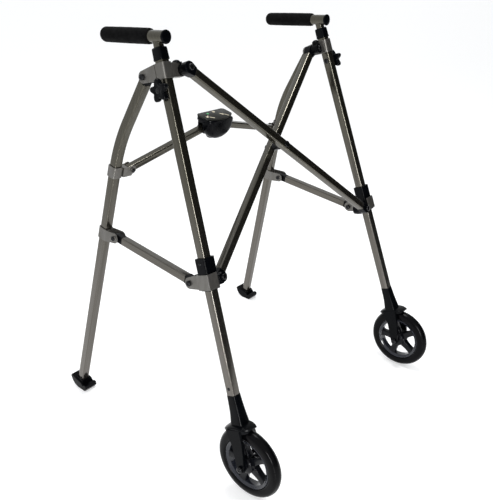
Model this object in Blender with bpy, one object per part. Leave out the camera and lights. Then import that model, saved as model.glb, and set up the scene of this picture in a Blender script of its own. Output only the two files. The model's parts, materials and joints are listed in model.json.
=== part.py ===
"""Folding walking frame: two sides, a front X of bars, a rear brace with a hub, wheels and glides.

Metres, +Z up. The wheels are at the front (-Y) and the grips point to the back (+Y).
The left side is at +X.
The origin is on the floor, at the middle of the footprint.
"""

import math

import bmesh
import bpy
from mathutils import Matrix, Vector

# Driving dimensions: the front leg's centre line
LEG_X = 0.2524  # half distance between the legs at LEG_Z
LEG_Y = 0.0324
LEG_Z = 0.800
LEG_SPLAY = 0.0709  # outwards for each metre down
LEG_LEAN = 0.3687  # forwards for each metre down
LEG_WIDTH = 0.020
LEG_END_Z = 0.206
LEG_TOP_Z = 0.808
WALL = 0.0015
GAP = 0.0003

# Rear leg
REAR_PIVOT_Y = 0.0679
REAR_PIVOT_Z = 0.7625
REAR_WIDTH = 0.019
REAR_KNEE_Y = 0.1479
REAR_KNEE_Z = 0.6236
REAR_LEAN = 0.2281  # backwards for each metre down, below the knee
REAR_BEND_RADIUS = 0.3420
REAR_END_Z = 0.020

# Front X of bars, as distances inwards from the leg's axis and forwards of the legs' plane
BAR_TOP_INSET = 0.0388
BAR_TOP_Z = 0.7748
BAR_FOOT_INSET = 0.0375
BAR_FOOT_Z = 0.4118
BAR_WIDTH = 0.0170
BAR_DEPTHS = {"front": 0.0190, "rear": -0.0160}
BLOCK_BACK = -0.0070  # the joint blocks stand in the space between the two bars
BLOCK_FRONT = 0.0100
FOOT_BLOCK_FRONT = 0.0010  # on the slider that carries the rear bar
BLOCK_RADIUS = 0.0105

# Side link, between the slider and the rear leg
LINK_FRONT_Y = -0.0691
LINK_FRONT_Z = 0.401
LINK_REAR_Y = 0.1519
LINK_REAR_Z = 0.426
LINK_WIDTH = 0.0165
LINK_REAR_TONGUE = 0.0134  # thin, so that the link can twist a little in its clamp

# Rear brace and hub
BRACE_HEIGHT_Z = 0.6213  # where the arms' centre lines would meet
BRACE_Y = 0.1444
BRACE_DROP = 0.2353  # down for each metre outwards
BRACE_BACK = 0.0517  # backwards for each metre outwards
BRACE_OUTER_X = 0.235
BRACE_INNER_X = 0.036
BRACE_WIDTH = 0.015
HUB_WIDTH = 0.088
HUB_FRONT = 0.0300
HUB_BACK = 0.0140
HUB_SIDE_PLAY = 0.0035  # more room ahead of the left arm, which wanders as the frame folds

# Handle
HANDLE_FRONT = Vector((0.2495, 0.0199, 0.8365))
HANDLE_REAR = Vector((0.2495, 0.1939, 0.8250))
HANDLE_RADIUS = 0.011
GRIP_RADIUS = 0.01425
GRIP_START = 0.0410
STEM_WIDTH = 0.015
STEM_END_Z = 0.672
KNOB_Z = 0.747
KNOB_RADIUS = 0.0215
KNOB_LOBES = 5

# Wheels
WHEEL_CENTRE = Vector((0.3021, -0.2378, 0.075))
WHEEL_RADIUS = 0.075
TYRE_WIDTH = 0.025
RIM_RADIUS = 0.0535
WHEEL_SPOKES = 5
SPOKE_HALF = 0.0080
AXLE_RADIUS = 0.004
FORK_INNER = 0.0145
FORK_OUTER = 0.0190
HOOD_INNER = 0.0790
HOOD_OUTER = 0.0830
HOOD_START = -4.0  # degrees from straight up, towards the back
HOOD_END = 46.0
FORK_SPREAD = 0.0085  # how much wider each arm stands at the axle
SPOKE_TURN = math.radians(15.0)

# Glide
GLIDE_HALF_WIDTH = 0.0160
GLIDE_FRONT_Y = 0.2619

BOLT_RADIUS = 0.003
BOLT_HOLE = 0.0034
SHEET = 0.002
EAR_INNER = 0.0099
SLIDER_BORE_X = 0.0122
SLIDER_BORE_Y = 0.0104
SLIDER_X = 0.0144
SLIDER_Y = 0.0130
ARM_REACH = 0.0360
BRACKET_LOW_Z = 0.7640
BRACKET_HIGH_Z = 0.7930
ARM_HALF = 0.0062

SIDES = {"right": -1, "left": 1}


def clear_scene():
    for obj in list(bpy.data.objects):
        bpy.data.objects.remove(obj, do_unlink=True)


def make_material(name, colour, roughness, metallic=0.0):
    material = bpy.data.materials.new(name)
    material.use_nodes = True
    shader = material.node_tree.nodes["Principled BSDF"]
    shader.inputs["Base Color"].default_value = (*colour, 1.0)
    shader.inputs["Roughness"].default_value = roughness
    shader.inputs["Metallic"].default_value = metallic
    material.diffuse_color = (*colour, 1.0)
    return material


# ---------------------------------------------------------------- shapes, as closed bmeshes


def closed(bm):
    bmesh.ops.recalc_face_normals(bm, faces=bm.faces)
    return bm


def loft(rings, loop=False):
    """Rings of points joined in order, capped at both ends, or closed on itself."""
    bm = bmesh.new()
    rows = [[bm.verts.new(point) for point in ring] for ring in rings]
    count = len(rows[0])
    pairs = list(zip(rows, rows[1:]))
    if loop:
        pairs.append((rows[-1], rows[0]))
    else:
        bm.faces.new(rows[0])
        bm.faces.new(rows[-1])
    for low, high in pairs:
        for i in range(count):
            j = (i + 1) % count
            bm.faces.new((low[i], low[j], high[j], high[i]))
    return closed(bm)


def prism(outline, sweep):
    return loft([outline, [point + sweep for point in outline]])


def box(low, high):
    low = Vector(low)
    high = Vector(high)
    corners = [(low.x, low.y), (high.x, low.y), (high.x, high.y), (low.x, high.y)]
    return prism([Vector((x, y, low.z)) for x, y in corners], Vector((0, 0, high.z - low.z)))


def ring_around(centre, axis, radius, sides):
    axis = Vector(axis).normalized()
    across = axis.orthogonal().normalized()
    other = axis.cross(across)
    turns = [2 * math.pi * i / sides for i in range(sides)]
    return [centre + radius * (math.cos(t) * across + math.sin(t) * other) for t in turns]


def cylinder(start, end, radius, sides=16, end_radius=None):
    start = Vector(start)
    end = Vector(end)
    axis = end - start
    last = radius if end_radius is None else end_radius
    return loft([ring_around(start, axis, radius, sides), ring_around(end, axis, last, sides)])


def turned(profile, sides):
    """A closed outline of (along X, radius) points, turned about local X."""
    rings = []
    for i in range(sides):
        turn = 2 * math.pi * i / sides
        rings.append([Vector((x, r * math.cos(turn), r * math.sin(turn))) for x, r in profile])
    return loft(rings, loop=True)


def rounded_rectangle(half_x, half_y, radius, steps=3):
    points = []
    for quarter in range(4):
        sign_x = 1 if quarter in (0, 3) else -1
        sign_y = 1 if quarter in (0, 1) else -1
        for step in range(steps + 1):
            turn = math.pi / 2 * (quarter + step / steps)
            x = sign_x * (half_x - radius) + radius * math.cos(turn)
            y = sign_y * (half_y - radius) + radius * math.sin(turn)
            points.append(Vector((x, y)))
    return points


def square_bar(half_x, half_y, radius, low, high, steps=3):
    outline = rounded_rectangle(half_x, half_y, radius, steps)
    return loft([[Vector((p.x, p.y, z)) for p in outline] for z in (low, high)])


def square_tube(width, wall, radius, low, high):
    outer = rounded_rectangle(width / 2, width / 2, radius)
    inner = rounded_rectangle(width / 2 - wall, width / 2 - wall, radius - wall)
    levels = ((outer, low), (outer, high), (inner, high), (inner, low))
    return loft([[Vector((p.x, p.y, z)) for p in outline] for outline, z in levels], loop=True)


def convex_outline(points):
    """The corners of the smallest convex outline around these (across, up) points."""
    ordered = sorted(set((round(x, 7), round(y, 7)) for x, y in points))
    outline = []
    for path in (ordered, ordered[::-1]):
        side = []
        for point in path:
            while len(side) > 1 and turn_of(side[-2], side[-1], point) <= 0:
                side.pop()
            side.append(point)
        outline += side[:-1]
    return outline


def turn_of(a, b, c):
    return (b[0] - a[0]) * (c[1] - a[1]) - (b[1] - a[1]) * (c[0] - a[0])


def circle(centre_x, centre_y, radius, sides=16):
    turns = [2 * math.pi * (i + 0.5) / sides for i in range(sides)]
    return [(centre_x + radius * math.cos(t), centre_y + radius * math.sin(t)) for t in turns]


def mesh_of(name, bm):
    mesh = bpy.data.meshes.new(name)
    bm.to_mesh(mesh)
    bm.free()
    return mesh


def solid(name, material, frame, joint, body, add=(), cut=()):
    """One object: the body with shapes added and cut, in the frame's own coordinates."""
    obj = bpy.data.objects.new(name, mesh_of(name, body))
    bpy.context.collection.objects.link(obj)
    tools = []
    for operation, shapes in (("UNION", add), ("DIFFERENCE", cut)):
        for shape in shapes:
            tool = bpy.data.objects.new("tool", mesh_of("tool", shape))
            bpy.context.collection.objects.link(tool)
            tools.append(tool)
            modifier = obj.modifiers.new(operation.lower(), "BOOLEAN")
            modifier.operation = operation
            modifier.solver = "EXACT"
            modifier.object = tool
    if tools:
        graph = bpy.context.evaluated_depsgraph_get()
        shaped = bpy.data.meshes.new_from_object(obj.evaluated_get(graph))
        obj.modifiers.clear()
        obj.data = shaped
    for tool in tools:
        bpy.data.objects.remove(tool, do_unlink=True)
    obj.data.name = name
    obj.data.materials.clear()
    obj.data.materials.append(material)
    obj.data.shade_smooth()
    obj.data.set_sharp_from_angle(angle=math.radians(35))
    obj.matrix_world = frame
    obj.parent = joint
    obj.matrix_parent_inverse = joint.matrix_world.inverted()
    return obj


# ---------------------------------------------------------------- places


def leg_point(side, z):
    drop = LEG_Z - z
    return Vector((side * (LEG_X + drop * LEG_SPLAY), LEG_Y - drop * LEG_LEAN, z))


def side_point(side, y, z):
    return Vector((side * (LEG_X + (LEG_Z - z) * LEG_SPLAY), y, z))


def frame_of(origin, x_axis, z_axis):
    """A frame at the origin with this Z, and X as near as it can be to x_axis."""
    z_axis = Vector(z_axis).normalized()
    y_axis = z_axis.cross(Vector(x_axis)).normalized()
    x_axis = y_axis.cross(z_axis)
    matrix = Matrix((x_axis, y_axis, z_axis)).transposed().to_4x4()
    matrix.translation = origin
    return matrix


def outward(side):
    return Vector((side, 0, LEG_SPLAY)).normalized()


def leg_frame(side, z):
    """X outwards, Z up the front leg; Y points back on the left side and forwards on the right."""
    up = leg_point(side, 1.0) - leg_point(side, 0.0)
    return frame_of(leg_point(side, z), outward(side), up)


def rear_frame(side, z):
    """X outwards, Z up the rear leg's straight lower part."""
    up = Vector((-side * LEG_SPLAY, -REAR_LEAN, 1.0))
    y = REAR_KNEE_Y + (REAR_KNEE_Z - z) * REAR_LEAN
    return frame_of(side_point(side, y, z), outward(side), up)


FRONT_NORMAL = Vector((0, -1.0, LEG_LEAN)).normalized()


def bar_joint(side, inset, z):
    return leg_point(side, z) - Vector((side * inset, 0, 0))


def brace_point(x):
    return Vector((x, BRACE_Y + BRACE_BACK * abs(x), BRACE_HEIGHT_Z - BRACE_DROP * abs(x)))


HUB_UP = Vector((0, -BRACE_BACK, BRACE_DROP)).normalized()
HUB_BACKWARD = HUB_UP.cross(Vector((1, 0, 0)))


def hub_frame():
    origin = brace_point(BRACE_INNER_X)
    origin.x = 0
    return frame_of(origin, (1, 0, 0), HUB_UP)


def joint_empty(name, place):
    empty = bpy.data.objects.new(name, None)
    bpy.context.collection.objects.link(empty)
    empty.empty_display_size = 0.02
    empty.location = place
    bpy.context.view_layer.update()
    return empty


# ---------------------------------------------------------------- side frames


def front_leg(side, tag, paint, joint):
    frame = leg_frame(side, LEG_Z)
    scale = (leg_point(side, 1.0) - leg_point(side, 0.0)).length
    low = (LEG_END_Z - LEG_Z) * scale
    high = (LEG_TOP_Z - LEG_Z) * scale
    knob = (KNOB_Z - LEG_Z) * scale
    bolt_hole = cylinder((0, 0, knob), (LEG_WIDTH, 0, knob), BOLT_HOLE)
    tube = square_tube(LEG_WIDTH, WALL, 0.004, low, high)
    solid(f"front_leg_{tag}", paint["tube"], frame, joint, tube, cut=[bolt_hole])
    collar = square_bar(0.0112, 0.0112, 0.004, high - 0.013, high + 0.0095)
    leg_bore = square_bar(0.0103, 0.0103, 0.004, high - 0.02, high + GAP)
    stem_bore = square_bar(0.0079, 0.0079, 0.003, high - 0.01, high + 0.02)
    solid(f"top_collar_{tag}", paint["plastic"], frame, joint, collar, cut=[leg_bore, stem_bore])


def handle(side, tag, paint, joint):
    frame = leg_frame(side, LEG_Z)
    inverse = frame.inverted()
    front = Vector((side * HANDLE_FRONT.x, HANDLE_FRONT.y, HANDLE_FRONT.z))
    rear = Vector((side * HANDLE_REAR.x, HANDLE_REAR.y, HANDLE_REAR.z))
    start = inverse @ front
    along = (inverse @ rear - start).normalized()
    length = (rear - front).length
    scale = (leg_point(side, 1.0) - leg_point(side, 0.0)).length
    low = (STEM_END_Z - LEG_Z) * scale
    crown = start + along * 0.026
    stem = square_tube(STEM_WIDTH, WALL, 0.003, low, crown.z - 0.004)
    cap_depth = 0.004
    tube_start = start + along * (cap_depth + GAP)
    tube_end = start + along * (length - 0.004)
    tube = cylinder(tube_start, tube_end, HANDLE_RADIUS, 20)
    bore = HANDLE_RADIUS - WALL
    front_bore = cylinder(start, start + along * 0.012, bore, 20)
    rear_bore = cylinder(start + along * 0.052, start + along * length, bore, 20)
    solid(
        f"handle_frame_{tag}",
        paint["tube"],
        frame,
        joint,
        stem,
        add=[tube],
        cut=[front_bore, rear_bore],
    )
    disc = cylinder(start, start + along * cap_depth, 0.0123, 20)
    spigot = cylinder(start + along * 0.002, start + along * 0.010, bore - GAP, 20)
    solid(f"handle_cap_{tag}", paint["plastic"], frame, joint, disc, add=[spigot])
    grip_start = start + along * GRIP_START
    grip = cylinder(grip_start, start + along * length, GRIP_RADIUS, 20)
    grip_bore = cylinder(grip_start - along * 0.01, tube_end + along * GAP, HANDLE_RADIUS + GAP, 20)
    solid(f"handle_grip_{tag}", paint["foam"], frame, joint, grip, cut=[grip_bore])


def star_knob(side, tag, paint, joint):
    frame = leg_frame(side, KNOB_Z)
    steps = KNOB_LOBES * 6
    outline = []
    for i in range(steps):
        turn = 2 * math.pi * i / steps
        radius = KNOB_RADIUS * (0.80 + 0.20 * math.cos(KNOB_LOBES * turn))
        outline.append(Vector((0.0155, radius * math.sin(turn), radius * math.cos(turn))))
    star = prism(outline, Vector((0.011, 0, 0)))
    boss = cylinder((0.0106, 0, 0), (0.020, 0, 0), 0.007)
    bolt = cylinder((STEM_WIDTH / 2 + 0.0004, 0, 0), (0.018, 0, 0), BOLT_RADIUS)
    solid(f"star_knob_{tag}", paint["plastic"], frame, joint, star, add=[boss, bolt])


def ear(side, points, out_low, out_high):
    """A plate across local X whose outline is given as (back, up) points."""
    outline = convex_outline(points)
    corners = [Vector((out_low, side * back, up)) for back, up in outline]
    return prism(corners, Vector((out_high - out_low, 0, 0)))


def back_up(side, frame, point):
    local = frame.inverted() @ point
    return side * local.y, local.z


def pivot_bolt(name, side, frame, back, up, paint, joint):
    """A headed pin through a pair of ears."""
    shank = cylinder((-0.0160, side * back, up), (0.0160, side * back, up), BOLT_RADIUS)
    heads = []
    for sign in (-1, 1):
        under = (sign * (EAR_INNER + SHEET + GAP), side * back, up)
        heads.append(cylinder(under, (sign * 0.0152, side * back, up), 0.0055))
    solid(name, paint["plastic"], frame, joint, shank, add=heads)


def top_bracket(side, tag, paint, joint):
    frame = leg_frame(side, BAR_TOP_Z)
    low = BRACKET_LOW_Z - BAR_TOP_Z
    high = BRACKET_HIGH_Z - BAR_TOP_Z
    half = LEG_WIDTH / 2 + GAP
    band = square_bar(half + SHEET, half + SHEET, 0.0055, low, high)
    leg_bore = square_bar(half, half, 0.004, low - 0.01, high + 0.01)
    pivot = side_point(side, REAR_PIVOT_Y, REAR_PIVOT_Z)
    back, up = back_up(side, frame, pivot)
    outline = circle(back, up, 0.0115) + [(half + 0.0005, low), (half + 0.0005, high)]
    ears = [ear(side, outline, sign * EAR_INNER, sign * (EAR_INNER + SHEET)) for sign in (-1, 1)]
    bolt_hole = cylinder((-0.02, side * back, up), (0.02, side * back, up), BOLT_HOLE)
    arm_low = low + SHEET
    arm_high = high - 0.001
    arm = box((-ARM_REACH, -ARM_HALF, arm_low), (-half - 0.001, ARM_HALF, arm_high))
    room = ARM_HALF - SHEET
    pocket = box((-0.05, -room, arm_low + SHEET), (-0.019, room, arm_high - SHEET))
    bar_pivot = frame.inverted() @ bar_joint(side, BAR_TOP_INSET, BAR_TOP_Z)
    ahead = depth_axis(frame) * 0.02
    block_room = cylinder(bar_pivot - ahead, bar_pivot + ahead, BLOCK_RADIUS + GAP, 20)
    solid(
        f"top_bracket_{tag}",
        paint["bracket"],
        frame,
        joint,
        band,
        add=[*ears, arm],
        cut=[leg_bore, bolt_hole, pocket, block_room],
    )
    pivot_bolt(f"rear_pivot_bolt_{tag}", side, frame, back, up, paint, joint)
    top_joint_block(side, tag, paint, joint, frame, arm_low, arm_high)


def depth_axis(frame):
    """The front X's hinge axis, pointing forwards, in a leg frame's own coordinates."""
    return (frame.inverted().to_3x3() @ FRONT_NORMAL).normalized()


def bar_bolt(pivot, ahead, bar):
    """The bolt a bar turns on, from inside its block to a head on the bar's far face."""
    away = 1 if bar > 0 else -1
    far_face = bar + away * (BAR_WIDTH / 2 + 0.0005)
    inside = away * 0.004
    return [
        cylinder(pivot + ahead * inside, pivot + ahead * (far_face + away * 0.001), BOLT_RADIUS),
        cylinder(pivot + ahead * far_face, pivot + ahead * (far_face + away * 0.003), 0.0065),
    ]


def block_span(side, pivot, front):
    """A joint block's reach across its leg frame, a little inside its two faces."""
    inside = 0.0008
    return sorted((pivot.y - side * (BLOCK_BACK + inside), pivot.y - side * (front - inside)))


def block_head(pivot, ahead, front):
    return cylinder(pivot + ahead * (front - 0.001), pivot + ahead * (front + 0.002), 0.0055)


def top_joint_block(side, tag, paint, joint, frame, arm_low, arm_high):
    """The moulded end of the bracket's arm, with the bolt that the bar turns on."""
    pivot = frame.inverted() @ bar_joint(side, BAR_TOP_INSET, BAR_TOP_Z)
    ahead = depth_axis(frame)
    body = cylinder(pivot + ahead * BLOCK_BACK, pivot + ahead * BLOCK_FRONT, BLOCK_RADIUS, 20)
    room = ARM_HALF - SHEET - GAP
    spigot = box((-ARM_REACH, -room, arm_low + 0.0024), (-0.020, room, arm_high - 0.0024))
    cap_low, cap_high = block_span(side, pivot, BLOCK_FRONT)
    end_cap = box((pivot.x, cap_low, arm_low), (-ARM_REACH - GAP, cap_high, arm_high))
    add = [spigot, end_cap, *bar_bolt(pivot, ahead, BAR_DEPTHS["front" if side < 0 else "rear"])]
    if side > 0:
        add.append(block_head(pivot, ahead, BLOCK_FRONT))
    solid(f"top_joint_block_{tag}", paint["plastic"], frame, joint, body, add=add)


def bent_path(first, knee, last, radius, steps):
    """Points from first to last with a round bend at the knee."""
    into = (knee - first).normalized()
    out = (last - knee).normalized()
    bend = into.angle(out)
    setback = radius * math.tan(bend / 2)
    normal = into.cross(out).normalized()
    centre = knee - into * setback + normal.cross(into) * radius
    spoke = knee - into * setback - centre
    arc = [centre + Matrix.Rotation(bend * i / steps, 3, normal) @ spoke for i in range(steps + 1)]
    return [first, *arc, last]


def rear_leg(side, tag, paint, joint):
    pivot = side_point(side, REAR_PIVOT_Y, REAR_PIVOT_Z)
    knee = side_point(side, REAR_KNEE_Y, REAR_KNEE_Z)
    foot = side_point(side, REAR_KNEE_Y + (REAR_KNEE_Z - REAR_END_Z) * REAR_LEAN, REAR_END_Z)
    top = pivot + (knee - pivot).normalized() * 0.013
    frame = frame_of(pivot, outward(side), pivot - knee)
    inverse = frame.inverted()
    path = [inverse @ point for point in bent_path(top, knee, foot, REAR_BEND_RADIUS, 8)]
    half = REAR_WIDTH / 2
    rings = []
    for outline, order in (
        (rounded_rectangle(half, half, 0.0035), 1),
        (rounded_rectangle(half - WALL, half - WALL, 0.002), -1),
    ):
        places = list(enumerate(path))[::order]
        for i, point in places:
            before = path[max(i - 1, 0)]
            after = path[min(i + 1, len(path) - 1)]
            tangent = (before - after).normalized()
            sideways = Vector((1, 0, 0))
            across = tangent.cross(sideways).normalized()
            rings.append([point + sideways * p.x + across * p.y for p in outline])
    solid(f"rear_leg_{tag}", paint["tube"], frame, joint, loft(rings, loop=True))
    plug = square_bar(half - GAP, half - GAP, 0.003, -0.0127, 0.0)
    spigot = square_bar(half - WALL - GAP, half - WALL - GAP, 0.0015, -0.028, -0.010)
    round_end = cylinder((-half + GAP, 0, 0), (half - GAP, 0, 0), 0.0105, 20)
    hole = cylinder((-0.02, 0, 0), (0.02, 0, 0), BOLT_HOLE)
    solid(
        f"rear_leg_plug_{tag}",
        paint["plastic"],
        frame,
        joint,
        plug,
        add=[spigot, round_end],
        cut=[hole],
    )


def slider(side, tag, paint, joint):
    frame = leg_frame(side, BAR_FOOT_Z)
    scale = (leg_point(side, 1.0) - leg_point(side, 0.0)).length
    top = (0.4590 - BAR_FOOT_Z) * scale
    low = (0.4010 - BAR_FOOT_Z) * scale
    band_top = (0.4305 - BAR_FOOT_Z) * scale
    band_low = low + 0.002
    inverse = frame.inverted()
    pivot = inverse @ bar_joint(side, BAR_FOOT_INSET, BAR_FOOT_Z)
    ahead = depth_axis(frame)
    sleeve = square_bar(SLIDER_X, SLIDER_Y, 0.003, low, top)
    bore = square_bar(SLIDER_BORE_X, SLIDER_BORE_Y, 0.003, low - 0.01, top + 0.01)
    block_front = FOOT_BLOCK_FRONT if side < 0 else BLOCK_FRONT
    boss = cylinder(pivot + ahead * BLOCK_BACK, pivot + ahead * block_front, BLOCK_RADIUS, 20)
    arm_low, arm_high = block_span(side, pivot, block_front)
    arm = box((pivot.x, arm_low, -0.0095), (-SLIDER_X + 0.001, arm_high, 0.0095))
    add = [boss, arm, *bar_bolt(pivot, ahead, BAR_DEPTHS["rear" if side < 0 else "front"])]
    if side < 0:
        add.append(block_head(pivot, ahead, block_front))
    solid(f"slider_sleeve_{tag}", paint["plastic"], frame, joint, sleeve, add=add, cut=[bore])
    slider_bracket(side, tag, paint, joint, frame, band_low, band_top)


def slider_bracket(side, tag, paint, joint, frame, low, high):
    """A sheet band round the sleeve, open towards the bars, with two ears behind."""
    inner_x = SLIDER_X + GAP
    inner_y = SLIDER_Y + GAP
    outer_x = inner_x + SHEET
    outer_y = inner_y + SHEET
    band = box((-0.0090, -outer_y, low), (outer_x, outer_y, high))
    hollow = square_bar(inner_x, inner_y, 0.002, low - 0.01, high + 0.01)
    back, up = back_up(side, frame, side_point(side, LINK_FRONT_Y, LINK_FRONT_Z))
    outline = circle(back, up, 0.0115) + [(outer_y - 0.0012, low), (outer_y - 0.0012, high)]
    ears = [ear(side, outline, sign * EAR_INNER, sign * (EAR_INNER + SHEET)) for sign in (-1, 1)]
    rear_wall = sorted((side * (inner_y + 0.0001), side * outer_y))
    wall = box((-EAR_INNER - SHEET, rear_wall[0], low), (outer_x - 0.001, rear_wall[1], high))
    hole = cylinder((-0.02, side * back, up), (0.02, side * back, up), BOLT_HOLE)
    solid(
        f"slider_bracket_{tag}",
        paint["bracket"],
        frame,
        joint,
        band,
        add=[*ears, wall],
        cut=[hollow, hole],
    )
    pivot_bolt(f"side_link_pin_{tag}", side, frame, back, up, paint, joint)


def link_plug(direction, reach, thick):
    """A moulded end: a tongue round a pivot at the origin, and a spigot that fits the tube at reach."""
    tip = [(direction * reach, -0.0081), (direction * reach, 0.0081)]
    outline = convex_outline(circle(0, 0, 0.0085) + tip)
    corners = [Vector((-thick / 2, y, z)) for y, z in outline]
    tongue = prism(corners, Vector((thick, 0, 0)))
    half = LINK_WIDTH / 2 - WALL - 2 * GAP
    ends = sorted((direction * (reach - 0.004), direction * (reach + 0.012)))
    spigot = box((-half, ends[0], -half), (half, ends[1], half))
    return tongue, spigot


def side_link(side, tag, paint, joint):
    start = side_point(side, LINK_FRONT_Y, LINK_FRONT_Z)
    end = side_point(side, LINK_REAR_Y, LINK_REAR_Z)
    length = (end - start).length
    frame = frame_of(start, outward(side), end - start)
    tube = square_tube(LINK_WIDTH, WALL, 0.0025, 0.0163, length - 0.0203)
    solid(f"side_link_{tag}", paint["tube"], frame, joint, tube)
    across = frame_of(start, outward(side), (end - start).cross(outward(side)))
    flip = 1 if (across.inverted() @ end).y > 0 else -1
    tongue, spigot = link_plug(flip, 0.016, 0.017)
    hole = cylinder((-0.02, 0, 0), (0.02, 0, 0), BOLT_HOLE)
    name = f"side_link_front_plug_{tag}"
    solid(name, paint["plastic"], across, joint, tongue, add=[spigot], cut=[hole])
    across.translation = end
    tongue, spigot = link_plug(-flip, 0.020, LINK_REAR_TONGUE)
    name = f"side_link_rear_plug_{tag}"
    solid(name, paint["plastic"], across, joint, tongue, add=[spigot])


def side_clamp(side, tag, paint, joint):
    """The band on the rear leg, with two ears ahead that carry the side link."""
    frame = rear_frame(side, LINK_REAR_Z)
    half = REAR_WIDTH / 2 + GAP
    low = -0.013
    high = 0.013
    band = square_bar(half + SHEET, half + SHEET, 0.005, low, high)
    bore = square_bar(half, half, 0.0035, low - 0.01, high + 0.01)
    back, up = back_up(side, frame, side_point(side, LINK_REAR_Y, LINK_REAR_Z))
    outline = circle(back, up, 0.0110) + [(-half - 0.0005, low), (-half - 0.0005, high)]
    ears = [ear(side, outline, sign * (half - 0.00005), sign * (half + SHEET)) for sign in (-1, 1)]
    studs = [
        cylinder((sign * (half + 0.001), side * back, up), (sign * 0.0150, side * back, up), 0.0052)
        for sign in (-1, 1)
    ]
    solid(f"side_clamp_{tag}", paint["bracket"], frame, joint, band, add=[*ears, *studs], cut=[bore])


def brace_frame(side):
    """At the arm's outer pivot: Z along the arm towards the hub, Y the hinge axis."""
    outer = brace_point(side * BRACE_OUTER_X)
    inner = brace_point(side * BRACE_INNER_X)
    along = inner - outer
    return frame_of(outer, HUB_BACKWARD.cross(along), along)


def arm_clamp(side, tag, paint, joint):
    """The band on the rear leg whose inward clevis carries the brace arm."""
    pivot = brace_point(side * BRACE_OUTER_X)
    frame = rear_frame(side, pivot.z)
    half = REAR_WIDTH / 2 + GAP
    band = square_bar(half + SHEET, half + SHEET, 0.005, -0.012, 0.012)
    bore = square_bar(half, half, 0.0035, -0.03, 0.03)
    local = frame.inverted() @ pivot
    axis = (frame.inverted().to_3x3() @ HUB_BACKWARD).normalized()
    inner_face = BRACE_WIDTH / 2 + 0.0006
    outer_face = inner_face + SHEET
    block_y = sorted((local.y - outer_face, local.y + outer_face))
    block = box((local.x + 0.0115, block_y[0], -0.010), (-half - 0.001, block_y[1], 0.010))
    add = [block]
    for sign in (-1, 1):
        ring = ring_around(local + axis * sign * inner_face, axis, 0.0095, 16)
        disc = prism(ring, axis * sign * SHEET)
        y_span = sorted((local.y + sign * inner_face, local.y + sign * outer_face))
        web = box((local.x, y_span[0], -0.0095), (local.x + 0.0125, y_span[1], 0.0095))
        pin = cylinder(
            local + axis * sign * (inner_face + 0.001),
            local + axis * sign * (outer_face + 0.003),
            0.0045,
        )
        add += [disc, web, pin]
    solid(f"arm_clamp_{tag}", paint["bracket"], frame, joint, band, add=add, cut=[bore])


def brace_arm(side, tag, paint, joint):
    frame = brace_frame(side)
    length = (brace_point(side * BRACE_INNER_X) - brace_point(side * BRACE_OUTER_X)).length
    tube = square_tube(BRACE_WIDTH, WALL, 0.003, -0.0065, length + 0.0065)
    solid(f"brace_arm_{tag}", paint["tube"], frame, joint, tube)


# ---------------------------------------------------------------- front X


def cross_bar(name, side, depth, paint, joint):
    """A bar from the top joint on this side to the slider on the other side."""
    top = bar_joint(side, BAR_TOP_INSET, BAR_TOP_Z) + FRONT_NORMAL * depth
    foot = bar_joint(-side, BAR_FOOT_INSET, BAR_FOOT_Z) + FRONT_NORMAL * depth
    length = (foot - top).length
    frame = frame_of(top, FRONT_NORMAL, top - foot)
    crossing = -length * abs(top.x) / (abs(top.x) + abs(foot.x))
    tube = square_tube(BAR_WIDTH, WALL, 0.003, -length + 0.0153, -0.0153)
    hole = cylinder((-0.02, 0, crossing), (0.02, 0, crossing), BOLT_HOLE + 0.0002)
    solid(f"cross_bar_{name}", paint["tube"], frame, joint, tube, cut=[hole])
    half = BAR_WIDTH / 2
    for end, start, down, end_radius in (("top", 0.0, -1, 0.0120), ("foot", -length, 1, 0.0105)):
        outline = convex_outline(
            circle(0, start, end_radius) + [(-half, start + down * 0.015), (half, start + down * 0.015)]
        )
        corners = [Vector((-half, y, z)) for y, z in outline]
        tongue = prism(corners, Vector((2 * half, 0, 0)))
        inner = half - WALL - GAP
        ends = sorted((start + down * 0.012, start + down * 0.028))
        spigot = square_bar(inner, inner, 0.001, ends[0], ends[1], 1)
        pivot_hole = cylinder((-0.02, 0, start), (0.02, 0, start), BOLT_HOLE)
        node = f"cross_bar_{name}_{end}_end"
        solid(node, paint["plastic"], frame, joint, tongue, add=[spigot], cut=[pivot_hole])
    return frame, crossing


def cross_pivot(frame, crossing, paint, joint):
    """The bolt and spacer where the two bars cross; it stays with the front bar."""
    back_face = BAR_DEPTHS["rear"] - BAR_DEPTHS["front"] - BAR_WIDTH / 2
    front_face = BAR_WIDTH / 2
    shank = cylinder((back_face - 0.002, 0, crossing), (front_face + 0.002, 0, crossing), BOLT_RADIUS)
    spacer = (BAR_DEPTHS["rear"] - BAR_DEPTHS["front"] + BAR_WIDTH / 2 + 0.0005, -front_face - 0.0005)
    heads = [
        cylinder((back_face - 0.0035, 0, crossing), (back_face - 0.0004, 0, crossing), 0.0065),
        cylinder((front_face + 0.0004, 0, crossing), (front_face + 0.0035, 0, crossing), 0.0065),
        cylinder((spacer[0], 0, crossing), (spacer[1], 0, crossing), 0.0085),
    ]
    solid("cross_pivot", paint["plastic"], frame, joint, shank, add=heads)


# ---------------------------------------------------------------- hub


def hub_outline(inset, z):
    half = HUB_WIDTH / 2 - inset
    front = -HUB_FRONT + inset
    back = HUB_BACK - inset
    points = [
        (-half, back - 0.005),
        (-half + 0.005, back),
        (half - 0.005, back),
        (half, back - 0.005),
        (half, front + 0.014),
        (half - 0.016, front + 0.003),
        (half * 0.25, front),
        (-half * 0.25, front),
        (-half + 0.016, front + 0.003),
        (-half, front + 0.014),
    ]
    return [Vector((x, y, z)) for x, y in points]


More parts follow.
